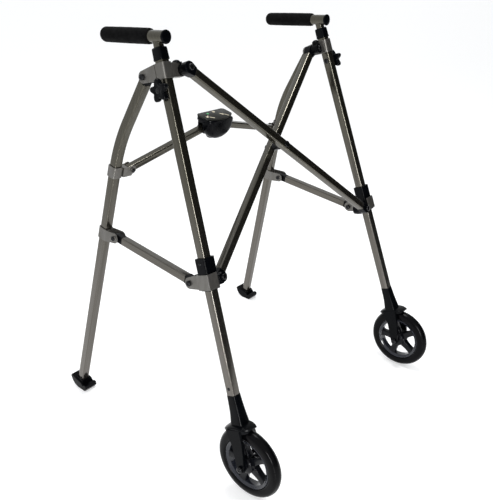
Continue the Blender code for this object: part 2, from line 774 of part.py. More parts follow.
def hub(paint, joint, button_joint):
    frame = hub_frame()
    top = 0.0285
    shell = loft([hub_outline(0.004, 0.002), hub_outline(0.0015, top)])
    keel = [(-0.036, 0.004), (-0.033, -0.006), (-0.022, -0.015), (-0.010, -0.021)]
    keel += [(-x, z) for x, z in reversed(keel)]
    lower = prism([Vector((x, -0.014, z)) for x, z in keel], Vector((0, 0.026, 0)))
    half = BRACE_WIDTH / 2 + 0.001
    channels = [
        box((-0.06, -half, -0.05), (-0.0065, half, 0.0165)),
        box((0.0065, -half - HUB_SIDE_PLAY, -0.05), (0.06, half, 0.0165)),
    ]
    button_hole = cylinder((0, 0, -0.05), (0, 0, -0.010), 0.0100, 20)
    stem_hole = cylinder((0, 0, -0.05), (0, 0, 0.010), 0.0035)
    solid(
        "hub_housing",
        paint["plastic"],
        frame,
        joint,
        shell,
        add=[lower],
        cut=[*channels, button_hole, stem_hole],
    )
    plate = prism(hub_outline(0.0, top + GAP), Vector((0, 0, 0.0028)))
    solid("hub_top_plate", paint["plate"], frame, joint, plate)
    dome = loft(
        [
            ring_around(Vector((0, 0, z)), (0, 0, 1), radius, 20)
            for radius, z in ((0.0095, -0.0165), (0.0095, -0.0235), (0.0075, -0.0258), (0.0035, -0.0270))
        ]
    )
    stem = cylinder((0, 0, -0.018), (0, 0, 0.003), 0.0031)
    solid("release_button", paint["plastic"], frame, button_joint, dome, add=[stem])


# ---------------------------------------------------------------- wheels and glides


def wheel_frame(side):
    centre = Vector((side * WHEEL_CENTRE.x, WHEEL_CENTRE.y, WHEEL_CENTRE.z))
    return frame_of(centre, (side, 0, 0), (0, 0, 1))


def wheel_fork(side, tag, paint, joint):
    frame = wheel_frame(side)
    inverse = frame.inverted()
    leg = leg_frame(side, LEG_END_Z)
    move = inverse @ leg

    def leg_ring(half_x, front, back, radius, up):
        outline = rounded_rectangle(half_x, (front + back) / 2, radius, 2)
        return [move @ Vector((p.x, side * (p.y + (back - front) / 2), up)) for p in outline]

    spigot_half = LEG_WIDTH / 2 - WALL - 3 * GAP
    spigot = loft([leg_ring(spigot_half, spigot_half, spigot_half, 0.001, up) for up in (-0.004, 0.032)])
    socket = loft(
        [
            leg_ring(0.0102, 0.0102, 0.0102, 0.0040, -GAP),
            leg_ring(0.0118, 0.0135, 0.0105, 0.0045, -0.034),
            leg_ring(0.0140, 0.0165, 0.0135, 0.0050, -0.0595),
        ]
    )
    rings = []
    for i in range(13):
        turn = math.radians(HOOD_START + (HOOD_END - HOOD_START) * i / 12)
        half = FORK_OUTER * (1 - abs(i / 6 - 1) ** 3 * 0.6)
        outer = half - 0.002
        corners = ((-half, HOOD_INNER), (half, HOOD_INNER), (outer, HOOD_OUTER), (-outer, HOOD_OUTER))
        rings.append([Vector((x, side * r * math.sin(turn), r * math.cos(turn))) for x, r in corners])
    hood = loft(rings)
    arms = []
    for sign in (-1, 1):
        corners = convex_outline(
            circle(0, 0, 0.0095) + [(0.012, 0.0795), (0.046, 0.0655), (0.036, 0.0560)]
        )
        outline = [
            Vector((sign * (FORK_INNER + FORK_SPREAD * (1 - z / HOOD_OUTER)), side * y, z))
            for y, z in corners
        ]
        arms.append(prism(outline, Vector((sign * (FORK_OUTER - FORK_INNER), 0, 0))))
    hole = cylinder((-0.03, 0, 0), (0.03, 0, 0), AXLE_RADIUS + GAP)
    solid(
        f"wheel_fork_{tag}",
        paint["plastic"],
        frame,
        joint,
        hood,
        add=[socket, spigot, *arms],
        cut=[hole],
    )
    fork_face = FORK_OUTER + FORK_SPREAD + 0.0007
    shank = cylinder((-fork_face - 0.001, 0, 0), (fork_face + 0.001, 0, 0), AXLE_RADIUS)
    heads = [
        cylinder((sign * (fork_face + GAP), 0, 0), (sign * (fork_face + 0.0033), 0, 0), 0.0065)
        for sign in (-1, 1)
    ]
    solid(f"axle_{tag}", paint["steel"], frame, joint, shank, add=heads)


def wheel(side, tag, paint, joint):
    frame = wheel_frame(side)
    half = TYRE_WIDTH / 2
    crown = WHEEL_RADIUS
    inner = RIM_RADIUS + GAP
    tyre_profile = [(-half + 0.003, inner), (-half, inner + 0.006)]
    for i in range(9):
        turn = math.pi * i / 8
        x = -(half - 0.0003) * math.cos(turn)
        tyre_profile.append((x, inner + 0.009 + (crown - inner - 0.009) * math.sin(turn)))
    tyre_profile += [(half, inner + 0.006), (half - 0.003, inner)]
    solid(f"tyre_{tag}", paint["rubber"], frame, joint, turned(tyre_profile, 36))
    ring = turned([(-0.009, 0.0465), (-0.009, RIM_RADIUS), (0.009, RIM_RADIUS), (0.009, 0.0465)], 36)
    hub_barrel = cylinder((-0.0125, 0, 0), (0.0125, 0, 0), 0.0125, 20)
    neck = FORK_INNER + FORK_SPREAD - 0.0010
    hub_neck = cylinder((-neck, 0, 0), (neck, 0, 0), 0.0075)
    spokes = []
    for i in range(WHEEL_SPOKES):
        turn = Matrix.Rotation(2 * math.pi * (i + 0.5) / WHEEL_SPOKES + side * SPOKE_TURN, 3, "X")
        corners = ((-0.0080, 0.006), (-0.0080, 0.048), (0.0080, 0.048), (0.0080, 0.006))
        face = [turn @ Vector((-SPOKE_HALF, y * (1.15 - 5 * z), z)) for y, z in corners]
        spokes.append(prism(face, Vector((2 * SPOKE_HALF, 0, 0))))
    hole = cylinder((-0.03, 0, 0), (0.03, 0, 0), AXLE_RADIUS + GAP)
    solid(
        f"wheel_rim_{tag}",
        paint["rim"],
        frame,
        joint,
        ring,
        add=[*spokes, hub_barrel, hub_neck],
        cut=[hole],
    )


def foot_glide(side, tag, paint, joint):
    frame = rear_frame(side, REAR_END_Z)
    base = frame_of(Vector((frame.translation.x, GLIDE_FRONT_Y, 0)), (side, 0, 0), (0, 0, 1))
    sole = [
        (0.000, 0.000),
        (0.026, 0.000),
        (0.037, 0.004),
        (0.046, 0.012),
        (0.051, 0.024),
        (0.047, 0.029),
        (0.038, 0.026),
        (0.034, 0.024),
        (0.012, 0.019),
        (0.007, 0.012),
        (0.002, 0.017),
        (-0.005, 0.016),
        (-0.006, 0.008),
    ]
    corners = [Vector((-GLIDE_HALF_WIDTH, side * y, z)) for y, z in sole]
    body = prism(corners, Vector((2 * GLIDE_HALF_WIDTH, 0, 0)))
    into = base.inverted() @ frame
    half = REAR_WIDTH / 2 - WALL - 3 * GAP

    def leg_block(half_width, low, high):
        rings = []
        for z in (low, high):
            corners_2d = ((1, 1), (1, -1), (-1, -1), (-1, 1))
            rings.append([into @ Vector((half_width * x, half_width * y, z)) for x, y in corners_2d])
        return loft(rings)

    post = leg_block(half, -0.006, 0.022)
    leg_room = leg_block(REAR_WIDTH / 2 + 0.0008, -GAP, 0.05)
    shell = leg_block(REAR_WIDTH / 2 + 0.0030, -0.004, 0.006)
    obj = solid(f"foot_glide_{tag}", paint["plastic"], base, joint, body, add=[shell], cut=[leg_room])
    keep = bpy.data.objects.new("post", mesh_of("post", post))
    bpy.context.collection.objects.link(keep)
    keep.matrix_world = base
    modifier = obj.modifiers.new("post", "BOOLEAN")
    modifier.operation = "UNION"
    modifier.solver = "EXACT"
    modifier.object = keep
    keep.hide_render = True
    keep.display_type = "WIRE"


def build():
    clear_scene()
    paint = {
        "tube": make_material("bronze_tube", (0.105, 0.098, 0.078), 0.35, 0.9),
        "bracket": make_material("bronze_sheet", (0.125, 0.118, 0.098), 0.38, 0.9),
        "plastic": make_material("black_plastic", (0.012, 0.012, 0.013), 0.45),
        "foam": make_material("black_foam", (0.010, 0.010, 0.010), 0.9),
        "rubber": make_material("tyre_rubber", (0.010, 0.010, 0.011), 0.55),
        "rim": make_material("grey_black_rim", (0.030, 0.032, 0.036), 0.4),
        "plate": make_material("olive_plate", (0.035, 0.035, 0.028), 0.5),
        "steel": make_material("black_steel", (0.03, 0.03, 0.032), 0.4, 0.8),
    }
    bars = {
        "front": joint_empty("cross_bar_front_joint", bar_joint(-1, BAR_TOP_INSET, BAR_TOP_Z)),
        "rear": joint_empty("cross_bar_rear_joint", Vector((0, LEG_Y, 0.6))),
    }
    frame, crossing = cross_bar("front", -1, BAR_DEPTHS["front"], paint, bars["front"])
    cross_bar("rear", 1, BAR_DEPTHS["rear"], paint, bars["rear"])
    cross_pivot(frame, crossing, paint, bars["front"])
    for tag, side in SIDES.items():
        leg_joint = joint_empty(f"front_leg_joint_{tag}", bar_joint(side, BAR_TOP_INSET, BAR_TOP_Z))
        rear_joint = joint_empty(
            f"rear_leg_joint_{tag}", side_point(side, REAR_PIVOT_Y, REAR_PIVOT_Z)
        )
        slide_joint = joint_empty(
            f"slider_joint_{tag}", bar_joint(side, BAR_FOOT_INSET, BAR_FOOT_Z)
        )
        link_joint = joint_empty(
            f"side_link_joint_{tag}", side_point(side, LINK_FRONT_Y, LINK_FRONT_Z)
        )
        handle_joint = joint_empty(f"handle_joint_{tag}", leg_point(side, LEG_TOP_Z))
        knob_joint = joint_empty(f"knob_joint_{tag}", leg_point(side, KNOB_Z))
        arm_joint = joint_empty(f"brace_joint_{tag}", brace_point(side * BRACE_OUTER_X))
        wheel_joint = joint_empty(f"wheel_joint_{tag}", wheel_frame(side).translation)
        front_leg(side, tag, paint, leg_joint)
        top_bracket(side, tag, paint, leg_joint)
        handle(side, tag, paint, handle_joint)
        star_knob(side, tag, paint, knob_joint)
        rear_leg(side, tag, paint, rear_joint)
        slider(side, tag, paint, slide_joint)
        side_link(side, tag, paint, link_joint)
        side_clamp(side, tag, paint, rear_joint)
        arm_clamp(side, tag, paint, rear_joint)
        brace_arm(side, tag, paint, arm_joint)
        wheel_fork(side, tag, paint, leg_joint)
        wheel(side, tag, paint, wheel_joint)
        foot_glide(side, tag, paint, rear_joint)
    hub_joint = joint_empty("hub_joint", brace_point(-BRACE_INNER_X))
    button_joint = joint_empty("release_button_joint", hub_frame().translation)
    hub(paint, hub_joint, button_joint)


build()
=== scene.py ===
"""Looks for the folding walking frame: finishes, fine parts, floor, light and camera."""

import json
import math

import bmesh
import bpy
from mathutils import Matrix, Vector


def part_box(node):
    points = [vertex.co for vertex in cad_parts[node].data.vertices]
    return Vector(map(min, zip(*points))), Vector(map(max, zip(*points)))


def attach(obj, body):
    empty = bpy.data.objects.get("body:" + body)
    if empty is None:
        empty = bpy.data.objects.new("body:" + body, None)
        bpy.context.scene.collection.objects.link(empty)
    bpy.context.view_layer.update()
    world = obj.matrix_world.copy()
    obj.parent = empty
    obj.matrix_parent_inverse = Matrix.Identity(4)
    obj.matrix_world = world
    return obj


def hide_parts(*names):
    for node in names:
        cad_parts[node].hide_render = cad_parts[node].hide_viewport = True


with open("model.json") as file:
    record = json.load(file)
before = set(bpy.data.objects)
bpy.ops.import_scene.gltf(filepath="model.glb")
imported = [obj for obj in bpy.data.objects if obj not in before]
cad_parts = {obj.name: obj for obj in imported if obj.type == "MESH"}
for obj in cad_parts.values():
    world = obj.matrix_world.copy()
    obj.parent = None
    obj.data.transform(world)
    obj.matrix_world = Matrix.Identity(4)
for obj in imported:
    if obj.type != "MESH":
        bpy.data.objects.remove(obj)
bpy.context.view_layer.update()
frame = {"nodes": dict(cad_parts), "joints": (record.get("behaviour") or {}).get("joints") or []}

JOINTS = {joint["name"]: joint for joint in frame["joints"]}
SIDES = {"right": -1, "left": 1}

# The camera
CAMERA_AT = Vector((-1.0586, -0.8416, 0.9772))
CAMERA_RIGHT = Vector((0.64588, -0.76306, 0.02408))
CAMERA_UP = Vector((0.30734, 0.28876, 0.90673))
CAMERA_LENS = 46.606  # mm, with the long side of the picture as a 36 mm sensor


def place_of(joint):
    return Vector(JOINTS[joint]["pos_m"])


def axis_of(joint):
    return Vector(JOINTS[joint]["axis"]).normalized()


def frame_of(origin, x_axis, z_axis):
    """A frame at the origin with this Z, and X as near as it can be to x_axis."""
    z_axis = Vector(z_axis).normalized()
    y_axis = z_axis.cross(Vector(x_axis)).normalized()
    x_axis = y_axis.cross(z_axis)
    matrix = Matrix((x_axis, y_axis, z_axis)).transposed().to_4x4()
    matrix.translation = origin
    return matrix


# ---------------------------------------------------------------- finishes


def new_node(tree, kind, settings=None, values=None):
    node = tree.nodes.new(kind)
    for name, value in (settings or {}).items():
        setattr(node, name, value)
    for name, value in (values or {}).items():
        node.inputs[name].default_value = value
    return node


def grain_space(tree, direction, cell):
    """Object coordinates turned so that Z runs along the direction, in units of one grain cell."""
    place = new_node(tree, "ShaderNodeTexCoord")
    turn = Vector((0, 0, 1)).rotation_difference(Vector(direction)).to_euler()
    mapping = new_node(
        tree,
        "ShaderNodeMapping",
        {"vector_type": "TEXTURE"},
        {"Rotation": turn, "Scale": cell},
    )
    tree.links.new(place.outputs["Object"], mapping.inputs["Vector"])
    return mapping.outputs["Vector"]


def noise(tree, space, scale, detail=4.0, roughness=0.55, distortion=0.0):
    values = {"Scale": scale, "Detail": detail, "Roughness": roughness, "Distortion": distortion}
    node = new_node(tree, "ShaderNodeTexNoise", values=values)
    tree.links.new(space, node.inputs["Vector"])
    return node.outputs["Fac"]


def spread(tree, value, low, high, to_low, to_high):
    """The value moved from one span to another, held at its ends."""
    values = {"From Min": low, "From Max": high, "To Min": to_low, "To Max": to_high}
    node = new_node(tree, "ShaderNodeMapRange", {"clamp": True}, values)
    tree.links.new(value, node.inputs["Value"])
    return node.outputs["Result"]


def two_colours(tree, factor, first, second):
    node = new_node(tree, "ShaderNodeMix", {"data_type": "RGBA"})
    node.inputs[6].default_value = (*first, 1.0)
    node.inputs[7].default_value = (*second, 1.0)
    tree.links.new(factor, node.inputs[0])
    return node.outputs[2]


TINTED_UNDER = 0.28
PLAIN_OVER = 0.60


def paler_below(tree, colour, tint):
    """The colour multiplied by a tint, fully under one height and not at all over another."""
    place = new_node(tree, "ShaderNodeTexCoord")
    parts = new_node(tree, "ShaderNodeSeparateXYZ")
    tree.links.new(place.outputs["Object"], parts.inputs["Vector"])
    amount = spread(tree, parts.outputs["Z"], TINTED_UNDER, PLAIN_OVER, 1.0, 0.0)
    node = new_node(tree, "ShaderNodeMix", {"data_type": "RGBA", "blend_type": "MULTIPLY"})
    node.inputs[7].default_value = (*tint, 1.0)
    tree.links.new(amount, node.inputs[0])
    tree.links.new(colour, node.inputs[6])
    return node.outputs[2]


def finish(name, first, second, rough, metallic=0.0, direction=(0, 0, 1), cell=(1, 1, 1), **more):
    """A Principled finish: two shades mixed by a grain, worn roughness, and a fine relief."""
    material = bpy.data.materials.new(name)
    material.use_nodes = True
    tree = material.node_tree
    shader = tree.nodes["Principled BSDF"]
    shader.inputs["Metallic"].default_value = metallic
    for socket, value in more.get("shader", {}).items():
        shader.inputs[socket].default_value = value
    space = grain_space(tree, direction, cell)
    shade = noise(tree, space, more.get("shade_scale", 1.0), 5.0)
    mixed = two_colours(tree, spread(tree, shade, 0.35, 0.65, 0.0, 1.0), first, second)
    if "lower" in more:
        mixed = paler_below(tree, mixed, more["lower"])
    tree.links.new(mixed, shader.inputs["Base Color"])
    plain = grain_space(tree, (0, 0, 1), (1, 1, 1))
    wear = noise(tree, plain, more.get("wear_scale", 60.0), 3.0)
    tree.links.new(spread(tree, wear, 0.3, 0.7, rough[0], rough[1]), shader.inputs["Roughness"])
    if more.get("cells"):
        pits = new_node(tree, "ShaderNodeTexVoronoi", values={"Scale": more["cells"]})
        tree.links.new(plain, pits.inputs["Vector"])
        relief = pits.outputs["Distance"]
    else:
        relief = noise(tree, space, more.get("relief_scale", 6.0), 3.0)
    strength = {"Strength": more.get("relief", 0.1), "Distance": more.get("depth", 0.0002)}
    bump = new_node(tree, "ShaderNodeBump", values=strength)
    tree.links.new(relief, bump.inputs["Height"])
    tree.links.new(bump.outputs["Normal"], shader.inputs["Normal"])
    return material


BRONZE_DARK = (0.060, 0.056, 0.043)
BRONZE_LIGHT = (0.086, 0.081, 0.066)
LOWER_TINT = (1.66, 1.64, 1.86)
STREAK = (0.0020, 0.0020, 0.250)  # across the tube twice, and along it


def tube_finish(name, direction):
    return finish(
        name,
        BRONZE_DARK,
        BRONZE_LIGHT,
        (0.13, 0.19),
        metallic=0.92,
        direction=direction,
        cell=STREAK,
        lower=LOWER_TINT,
        relief=0.03,
        shader={"Coat Weight": 0.10, "Coat Roughness": 0.10},
    )


SHEET_METAL = finish(
    "bronze_sheet_satin",
    (0.105, 0.100, 0.090),
    (0.135, 0.130, 0.122),
    (0.30, 0.42),
    metallic=0.80,
    cell=(0.010, 0.010, 0.050),
    relief=0.03,
    shader={"Coat Weight": 0.10, "Coat Roughness": 0.10},
)
PLASTIC = finish(
    "black_plastic_grained",
    (0.0009, 0.0010, 0.0014),
    (0.0018, 0.0020, 0.0026),
    (0.26, 0.40),
    cell=(0.02, 0.02, 0.02),
    cells=1500.0,
    relief=0.05,
    shader={"Specular IOR Level": 0.06},
)
PLASTIC_SMOOTH = finish(
    "black_plastic_smooth",
    (0.0008, 0.0010, 0.0014),
    (0.0016, 0.0019, 0.0026),
    (0.12, 0.22),
    cell=(0.03, 0.03, 0.03),
    relief=0.04,
    relief_scale=8.0,
    shader={"Specular IOR Level": 0.07},
)
FOAM = finish(
    "black_foam_cells",
    (0.0010, 0.0010, 0.0011),
    (0.0030, 0.0030, 0.0032),
    (0.62, 0.85),
    cell=(0.006, 0.006, 0.006),
    cells=1100.0,
    relief=0.35,
    depth=0.0003,
    shader={"Sheen Weight": 0.005, "Specular IOR Level": 0.04},
)
RUBBER = finish(
    "tyre_rubber_fine",
    (0.0008, 0.0008, 0.0011),
    (0.0018, 0.0018, 0.0022),
    (0.14, 0.26),
    cell=(0.004, 0.03, 0.03),
    relief=0.06,
    relief_scale=3.0,
    shader={"Specular IOR Level": 0.07},
)
RIM = finish(
    "rim_grey_black",
    (0.0016, 0.0018, 0.0026),
    (0.0036, 0.0040, 0.0054),
    (0.12, 0.22),
    cell=(0.01, 0.01, 0.01),
    cells=1300.0,
    relief=0.04,
    shader={"Specular IOR Level": 0.14},
)
# The lip ring: its base colour, lighter than the rim's, paints a highlight on it; its higher specular
# level and lower roughness are real gloss.
RIM_RING_PAINTED_HIGHLIGHT = finish(
    "rim_ring_polished_painted_highlight",
    (0.009, 0.010, 0.014),
    (0.015, 0.017, 0.023),
    (0.08, 0.16),
    cell=(0.01, 0.01, 0.01),
    cells=1300.0,
    relief=0.03,
    shader={"Specular IOR Level": 0.42},
)
PLATE = finish(
    "olive_plate_satin",
    (0.0055, 0.0058, 0.0042),
    (0.0090, 0.0095, 0.0070),
    (0.28, 0.42),
    cell=(0.012, 0.012, 0.012),
    cells=1200.0,
    relief=0.05,
    shader={"Specular IOR Level": 0.12},
)
STEEL = finish(
    "black_steel_worn",
    (0.0060, 0.0062, 0.0070),
    (0.0120, 0.0122, 0.0135),
    (0.14, 0.26),
    metallic=0.70,
    cell=(0.003, 0.003, 0.003),
    relief=0.05,
)
PRINT_PALE = finish(
    "pale_print",
    (0.42, 0.37, 0.27),
    (0.52, 0.47, 0.36),
    (0.45, 0.60),
    cell=(0.002, 0.002, 0.002),
    relief=0.05,
)
PRINT_GREEN = finish(
    "green_print",
    (0.03, 0.26, 0.08),
    (0.05, 0.36, 0.12),
    (0.40, 0.55),
    cell=(0.002, 0.002, 0.002),
    relief=0.05,
)

# ---------------------------------------------------------------- shapes


def loft(rings, loop=False):
    """Rings of points joined in order, capped at both ends, or closed on itself."""
    bm = bmesh.new()
    rows = [[bm.verts.new(point) for point in ring] for ring in rings]
    pairs = list(zip(rows, rows[1:]))
    if loop:
        pairs.append((rows[-1], rows[0]))
    else:
        bm.faces.new(rows[0])
        bm.faces.new(rows[-1])
    for low, high in pairs:
        for i in range(len(low)):
            j = (i + 1) % len(low)
            bm.faces.new((low[i], low[j], high[j], high[i]))
    bmesh.ops.recalc_face_normals(bm, faces=bm.faces)
    return bm


def joined(shapes):
    """Several closed shapes as one mesh."""
    whole = bmesh.new()
    for shape in shapes:
        mesh = bpy.data.meshes.new("part_of_whole")
        shape.to_mesh(mesh)
        shape.free()
        whole.from_mesh(mesh)
        bpy.data.meshes.remove(mesh)
    return whole


def turned(profile, sides, closed=False):
    """(along X, radius) points turned about X: an open profile has flat ends."""
    rings = []
    for x, radius in profile:
        turns = [2 * math.pi * i / sides for i in range(sides)]
        rings.append([Vector((x, radius * math.cos(t), radius * math.sin(t))) for t in turns])
    return loft(rings, loop=closed)


def rounded_rectangle(half_x, half_y, radius, steps=5):
    points = []
    for quarter in range(4):
        sign_x = 1 if quarter in (0, 3) else -1
        sign_y = 1 if quarter in (0, 1) else -1
        for step in range(steps + 1):
            turn = math.pi / 2 * (quarter + step / steps)
            x = sign_x * (half_x - radius) + radius * math.cos(turn)
            y = sign_y * (half_y - radius) + radius * math.sin(turn)
            points.append((x, y))
    return points


def rounded_outline(corners, radius, steps=5):
    """A polygon's (x, y) corners with each one rounded."""
    points = []
    count = len(corners)
    for i in range(count):
        here = Vector(corners[i])
        before = (Vector(corners[i - 1]) - here).normalized()
        after = (Vector(corners[(i + 1) % count]) - here).normalized()
        reach = min(
            radius,
            0.45 * (Vector(corners[i - 1]) - here).length,
            0.45 * (Vector(corners[(i + 1) % count]) - here).length,
        )
        start = here + before * reach
        end = here + after * reach
        for step in range(steps + 1):
            t = step / steps
            points.append((1 - t) ** 2 * start + 2 * t * (1 - t) * here + t * t * end)
    return points


def slab(outline, low, high, edge=0.0):
    """A plate between two heights whose upper and lower edges are eased."""
    centre = sum(outline, Vector((0, 0))) / len(outline)
    levels = [(low, 0.0), (high, 0.0)]
    if edge:
        levels = [(low, edge), (low + edge * 0.3, edge * 0.3), (low + edge, 0.0)]
        levels += [(high - edge, 0.0), (high - edge * 0.3, edge * 0.3), (high, edge)]
    rings = []
    for z, inset in levels:
        ring = []
        for point in outline:
            away = point - centre
            moved = point - away.normalized() * inset
            ring.append(Vector((moved.x, moved.y, z)))
        rings.append(ring)
    return loft(rings)


def sharpen(mesh, degrees):
    mesh.shade_smooth()
    mesh.set_sharp_from_angle(angle=math.radians(degrees))


def piece(name, shape, place, body, material, replaces=(), degrees=38.0):
    """One fine part, in its own frame, that moves with a CAD body."""
    mesh = bpy.data.meshes.new(name)
    shape.to_mesh(mesh)
    shape.free()
    mesh.materials.append(material)
    sharpen(mesh, degrees)
    obj = bpy.data.objects.new(name, mesh)
    bpy.context.scene.collection.objects.link(obj)
    obj.matrix_world = place
    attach(obj, body)
    if replaces:
        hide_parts(*replaces)
    return obj


def ease_edges(obj, width):
    bevel = obj.modifiers.new("eased edges", "BEVEL")
    bevel.width = width
    bevel.segments = 3
    bevel.limit_method = "ANGLE"
    bevel.angle_limit = math.radians(38)
    bevel.use_clamp_overlap = False
    bevel.miter_outer = "MITER_ARC"
    weighted = obj.modifiers.new("even shading", "WEIGHTED_NORMAL")
    weighted.weight = 80
    weighted.keep_sharp = False


def dress(node, material, bevel):
    """A finish and eased edges for a CAD node that is shown as it is."""
    obj = frame["nodes"][node]
    obj.data.materials.clear()
    obj.data.materials.append(material)
    obj.data.shade_smooth()
    weld = obj.modifiers.new("one skin", "WELD")
    weld.merge_threshold = 0.00001
    ease_edges(obj, bevel)


def button_head(name, centre, axis, radius, height, body):
    """A domed screw head with a round driving recess."""
    profile = [
        (-0.0006, radius * 0.6),
        (-0.0002, radius),
        (height * 0.35, radius),
        (height * 0.72, radius * 0.86),
        (height * 0.95, radius * 0.60),
        (height, radius * 0.42),
        (height * 0.55, radius * 0.36),
        (height * 0.50, radius * 0.12),
    ]
    across = Vector(axis).orthogonal()
    place = frame_of(centre, axis, across)
    piece(name, turned(profile, 28), place, body, STEEL, degrees=50)


def dome(name, centre, axis, radius, height, body):
    """A plastic cap on the end of a tube."""
    steps = 7
    profile = [(-0.0010, radius)]
    for i in range(steps):
        turn = math.pi / 2 * i / steps
        profile.append((height * math.sin(turn), radius * math.cos(turn)))
    profile.append((height, radius * 0.05))
    place = frame_of(centre, axis, Vector(axis).orthogonal())
    piece(name, turned(profile, 32), place, body, PLASTIC_SMOOTH, degrees=50)


# ---------------------------------------------------------------- side frames

LEG_SLOPE = 0.936189  # height gained for each metre along a front leg
LEG_SPLAY = 0.0709  # outwards for each metre down
LEG_LEAN = 0.3687  # forwards for each metre down
REAR_LEAN = 0.2281  # backwards for each metre down a rear leg
BRACE_DROP = 0.2353  # down for each metre outwards
BRACE_BACK = 0.0517  # backwards for each metre outwards
HALF_TUBE = 0.0100
KNOB_Z = 0.747
COLLAR_Z = 0.8
COLLAR_RISE = 0.00855  # from that height to the leg's end, along the leg
COLLAR_DEPTH = 0.0130
BAR_TOP_Z = 0.7748
ARM_REACH = 0.0330  # inwards from the leg to the bracket's arm
RIVET_Z = 0.2187
SLEEVE_BOLT_Z = 0.4495
LINK_STUD_Y = 0.1519
LINK_STUD_Z = 0.426
FOOT_RIVET_Y = 0.2805
FOOT_RIVET_Z = 0.0270


def leg_frame(tag):
    """At the knob: X outwards, Z up the front leg."""
    knob = f"star_knob_{tag}_turn"
    side = SIDES[tag]
    out = axis_of(knob)
    if out.x * side < 0:
        out = -out
    return frame_of(place_of(knob), out, axis_of(f"handle_{tag}_slide"))


def up_leg(z):
    """How far along the leg from the knob a height is."""
    return (z - KNOB_Z) / LEG_SLOPE


def ring_at(half_x, half_y, radius, z):
    return [Vector((x, y, z)) for x, y in rounded_rectangle(half_x, half_y, radius)]


def top_collar(tag, place):
    base = up_leg(COLLAR_Z) + COLLAR_RISE - COLLAR_DEPTH
    outside = (
        (0.0000, 0.0107, 0.0034),
        (0.0004, 0.0112, 0.0038),
        (0.0018, 0.0115, 0.0040),
        (0.0045, 0.0112, 0.0040),
        (0.0180, 0.0110, 0.0040),
        (0.0206, 0.0108, 0.0039),
        (0.0218, 0.0103, 0.0037),
        (0.0225, 0.0095, 0.0033),
    )
    inside = (
        (0.0225, 0.0081, 0.0030),
        (COLLAR_DEPTH, 0.0079, 0.0030),
        (COLLAR_DEPTH, 0.0103, 0.0040),
    )
    rings = [ring_at(half, half, radius, base + z) for z, half, radius in outside + inside]
    rings.append(ring_at(0.0103, 0.0103, 0.0036, base))
    node = f"top_collar_{tag}"
    body = f"{tag}_side"
    shape = loft(rings, loop=True)
    piece(f"collar_{tag}", shape, place, body, PLASTIC_SMOOTH, [node], degrees=30)


GRIP_RADIUS = 0.01425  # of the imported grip
CAP_TIP = 0.0008  # how far the tilted cap's box reaches ahead of its middle
GRIP_TIP = 0.0009  # how far the tilted grip's box reaches behind its middle
FOAM_FULL = 0.0450  # where the foam has its full radius, from the front end
FOAM_RADIUS = 0.0141
FOAM_ROUND = 0.0110  # how much of the rear end is rounded


def handle_line(tag):
    """The handle's front end and its direction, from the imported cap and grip."""
    cap_low, cap_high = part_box(f"handle_cap_{tag}")
    grip_low, grip_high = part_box(f"handle_grip_{tag}")
    front = Vector(((cap_low.x + cap_high.x) / 2, cap_low.y, (cap_low.z + cap_high.z) / 2))
    rear = Vector(((grip_low.x + grip_high.x) / 2, grip_high.y, grip_low.z + GRIP_RADIUS))
    front.y += CAP_TIP
    rear.y -= GRIP_TIP
    return front, rear


def handle(tag):
    front, rear = handle_line(tag)
    along = (rear - front).normalized()
    length = (rear - front).length
    body = f"handle_{tag}"
    place = frame_of(front, along, along.orthogonal())
    grip = [(0.0410, 0.0116), (0.0411, 0.0122), (0.0416, 0.0130), (0.0428, 0.0137)]
    grip.append((FOAM_FULL, FOAM_RADIUS))
    steps = 24
    for i in range(1, steps):
        t = i / steps
        x = FOAM_FULL + (length - FOAM_ROUND - FOAM_FULL) * t
        crown = 0.00025 * math.sin(math.pi * t)
        wave = 0.00006 * math.sin(31.0 * t) + 0.00004 * math.sin(67.0 * t + 1.0)
        grip.append((x, FOAM_RADIUS + crown + wave))
    for i in range(9):
        turn = math.pi / 2 * i / 8
        x = length - FOAM_ROUND + 0.0108 * math.sin(turn)
        grip.append((x, 0.0034 + 0.0107 * math.cos(turn)))
    shape = turned(grip, 48)
    node = f"handle_grip_{tag}"
    foam = piece(f"foam_grip_{tag}", shape, place, body, FOAM, [node], degrees=60)
    cap = [
        (-0.0003, 0.0040),
        (0.0000, 0.0085),
        (0.0005, 0.0108),
        (0.0012, 0.0119),
        (0.0024, 0.0123),
        (0.0036, 0.0121),
        (0.0040, 0.0114),
        (0.0100, 0.0090),
    ]
    node = f"handle_cap_{tag}"
    shape = turned(cap, 40)
    piece(f"end_cap_{tag}", shape, place, body, PLASTIC_SMOOTH, [node])


KNOB_RADIUS = 0.0215
LOBE_DEPTH = 0.20  # as a share of the radius
KNOB_INSERT = 0.0254  # outwards from the leg's middle


